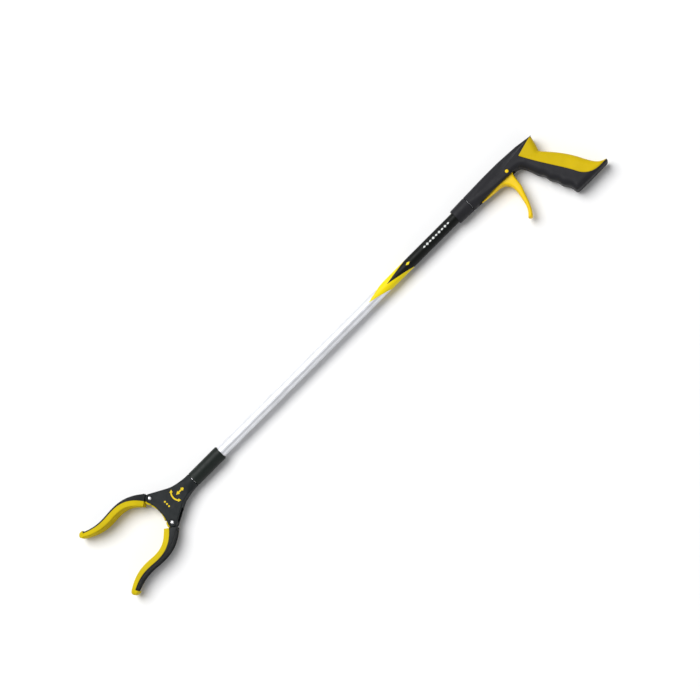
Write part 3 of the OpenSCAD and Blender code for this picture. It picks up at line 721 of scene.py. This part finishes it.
def shell_half(upper):
    outline = black_outline()
    whole = dense(handle_outline(), 0.8)
    crease = [[[x, float(np.interp(x, FRONT_STATIONS, CREASE))] for x in np.arange(44, 139, 1.0)]]
    recess = [arc(PIN_SPOT, r, 0, 350, 35) for r in (3.3, 3.5)]
    flat = sheet(outline, 1.3, edge_rings(6, 8), crease + recess, 0.8)
    p = flat[0]
    top = handle_height(p, whole)
    groove = distance(p, dense(seam(), 0.8)[:-1])
    top = top - 0.45 * (1 - smooth(groove, 0.0, 0.7)) - 0.6 * (np.linalg.norm(p - PIN_SPOT, axis=1) < 3.4)
    top = np.maximum(top, 0.05)
    d = distance(p, whole)
    bottom = np.where(d > 2.3, np.maximum(top - 2.5, 0), 0)
    slot = (p[:, 0] > 34) & (p[:, 0] < 96.5) & (p[:, 1] < -4)
    bottom = np.where(slot, np.maximum(bottom, 7.6), bottom)
    seat = np.sqrt(np.maximum((TUBE_R + 0.1) ** 2 - p[:, 1] ** 2, 0)) * (p[:, 0] < 62)
    bottom = np.minimum(np.maximum(bottom, seat), top)
    return moved(solid(flat, top, bottom), (NOSE_X, 0, 0), flip_z=not upper)


def back_piece():
    outline = back_outline()
    whole = dense(handle_outline(), 0.8)
    flat = sheet(outline, 1.5, [0.3, 0.7] + edge_rings(6, 8)[2:], (), 0.8)
    p = flat[0]
    top = grip_height(p, whole)
    groove = distance(p, dense(seam(), 0.8)[:-1])
    top = np.maximum(top - 0.5 * (1 - smooth(groove, 0.0, 0.8)), 0.05)
    return moved(solid(flat, top, -top), (NOSE_X, 0, 0))


def nose_part():
    profile = [(0.2, 7), (0, 9.6), (0.25, 10.05), (0.8, 10.25), (1.4, 10.35), (22, 11), (23.4, 11),
               (24.1, 10.8), (24.4, 10.1), (24.5, 7)]
    return lathe([(NOSE_X + x, r) for x, r in profile])


def make_handle(m):
    for upper, node in ((True, "handle_shell_upper"), (False, "handle_shell_lower")):
        name = "handle_half_" + node[13:]
        piece(name, shell_half(upper), m["shell"], "handle", [node], SOFT)
    piece("handle_back", back_piece(), m["back"], "handle", ["grip_back"], SOFT)
    piece("handle_nose", nose_part(), m["shell"], "handle", ["nose_ring"])


# ---------- trigger: about its pin ----------
def trigger_outline():
    return np.concatenate([
        bez([[-50, -4.2], [-40, -5.6], [-30, -6.2], [-22, -6.4]], 12),
        bez([[-22, -6.4], [-10, -7.5], [-7, -18], [-8.6, -28]], 18),
        bez([[-8.6, -28], [-12, -42], [-12, -52], [-23, -61.5]], 18),
        bez([[-23, -61.5], [-22, -65], [-18.5, -65.5], [-17, -63.5]], 8),
        bez([[-17, -63.5], [-7, -52], [-5, -38], [0, -28]], 18),
        bez([[0, -28], [2.6, -20], [1.5, -12], [5, -3.8]], 12, True),
        [[-6, -2.6], [-12, -3.4], [-30, -3.6], [-50, -2.2]],
    ])


def make_trigger(m):
    outline = trigger_outline()
    loop = dense(outline, 0.7)
    flat = sheet(outline, 1.3, edge_rings(3, 6), (), 0.7)
    p = flat[0]
    width = np.interp(p[:, 0], [-50, -18], [1.8, 7])
    top = width - rounding(distance(p, loop), 3) * smooth(p[:, 1], -5.2, -9)
    hub = plate(arc((0, 0), 6.3, 0, 350, 35), 3, 7)
    blade = joined(solid(flat, top, -top), hub, moved(hub, flip_z=True))
    at = (PIN[0], PIN[1] - AXIS_Y, 0)
    lever = moved(blade, at)
    piece("trigger_lever", lever, m["trigger"], "trigger", ["trigger"], SOFT)
    head = dome(at[:2], 2.45, 0.7, HANDLE_HALF - 0.75)
    shank = plate(arc(at[:2], 2.45, 0, 350, 35), -12.2, 12.2)
    pin = joined(head, moved(head, flip_z=True), shank)
    piece("trigger_pivot", pin, m["trigger"], "trigger", ["trigger_pin"])


# ---------- stage, light and camera: in metres ----------
FLOOR = 3.0


def make_stage():
    corners = [(x * FLOOR, y * FLOOR, 0) for x, y in ((-1, -1), (1, -1), (1, 1), (-1, 1))]
    mesh = bpy.data.meshes.new("floor")
    mesh.from_pydata(corners, [], [(0, 1, 2, 3)])
    floor = bpy.data.objects.new("floor", mesh)
    bpy.context.collection.objects.link(floor)
    p = Paint("floor_paper")
    p.set(Base_Color=p.mix(p.span(p.noise(3, 2), 0, 1), (0.9, 0.9, 0.9), (0.92, 0.92, 0.92)), Roughness=0.9)
    mesh.materials.append(p.mat)


def area_light(name, place, size, power):
    data = bpy.data.lights.new(name, "AREA")
    data.shape = "DISK"
    data.size = size
    data.energy = power
    lamp = bpy.data.objects.new(name, data)
    lamp.location = place
    lamp.rotation_mode = "QUATERNION"
    lamp.rotation_quaternion = (-Vector(place)).to_track_quat("-Z", "Y")
    bpy.context.collection.objects.link(lamp)


def make_light():
    area_light("key", (-0.8, 3.6, 6.6), 6.5, 665)
    area_light("low_fill", (-0.4, -3.2, 1.3), 3, 22)
    world = bpy.data.worlds.new("studio")
    bpy.context.scene.world = world
    world.use_nodes = True
    sky = world.node_tree.nodes["Background"]
    sky.inputs["Color"].default_value = (0.97, 0.98, 1.0, 1)
    sky.inputs["Strength"].default_value = 0.25


def make_camera():
    """Long lens over the object, leaning a little to the trigger's side, tube rising to the right."""
    lean = math.radians(13)
    back = Vector((0, -math.sin(lean), math.cos(lean)))
    across = Vector((0, math.cos(lean), math.sin(lean)))
    along = Vector((1, 0, 0))
    right, up = (along - across).normalized(), (along + across).normalized()
    data = bpy.data.cameras.new("camera")
    data.sensor_width = 36
    away = 2.5
    data.lens = 36 * away / 0.91
    camera = bpy.data.objects.new("camera", data)
    turn = Matrix((right, up, back)).transposed().to_4x4()
    camera.matrix_world = Matrix.Translation(Vector((0.0075, -0.0077, 0.013)) + back * away) @ turn
    bpy.context.collection.objects.link(camera)
    bpy.context.scene.camera = camera
    bpy.context.scene.view_settings.view_transform = "Standard"


def main():
    m = make_materials()
    repaint(m["alloy"], "tube")
    repaint(m["collar"], "collar")
    repaint(m["nylon"], "rod_guides", "crosshead")
    repaint(m["steel"], "detent_ring", "swivel_shaft", "retaining_clip", "return_spring")
    repaint(m["steel"], "crosshead_pins", "hook_pin")
    repaint(m["zinc"], "collar_rivet", "handle_screws", "head_screws", "pull_rod", "rod_sleeves", "rod_nut")
    make_jaws(m)
    make_head(m)
    make_label(m)
    make_handle(m)
    make_trigger(m)
    make_stage()
    make_light()
    make_camera()


main()
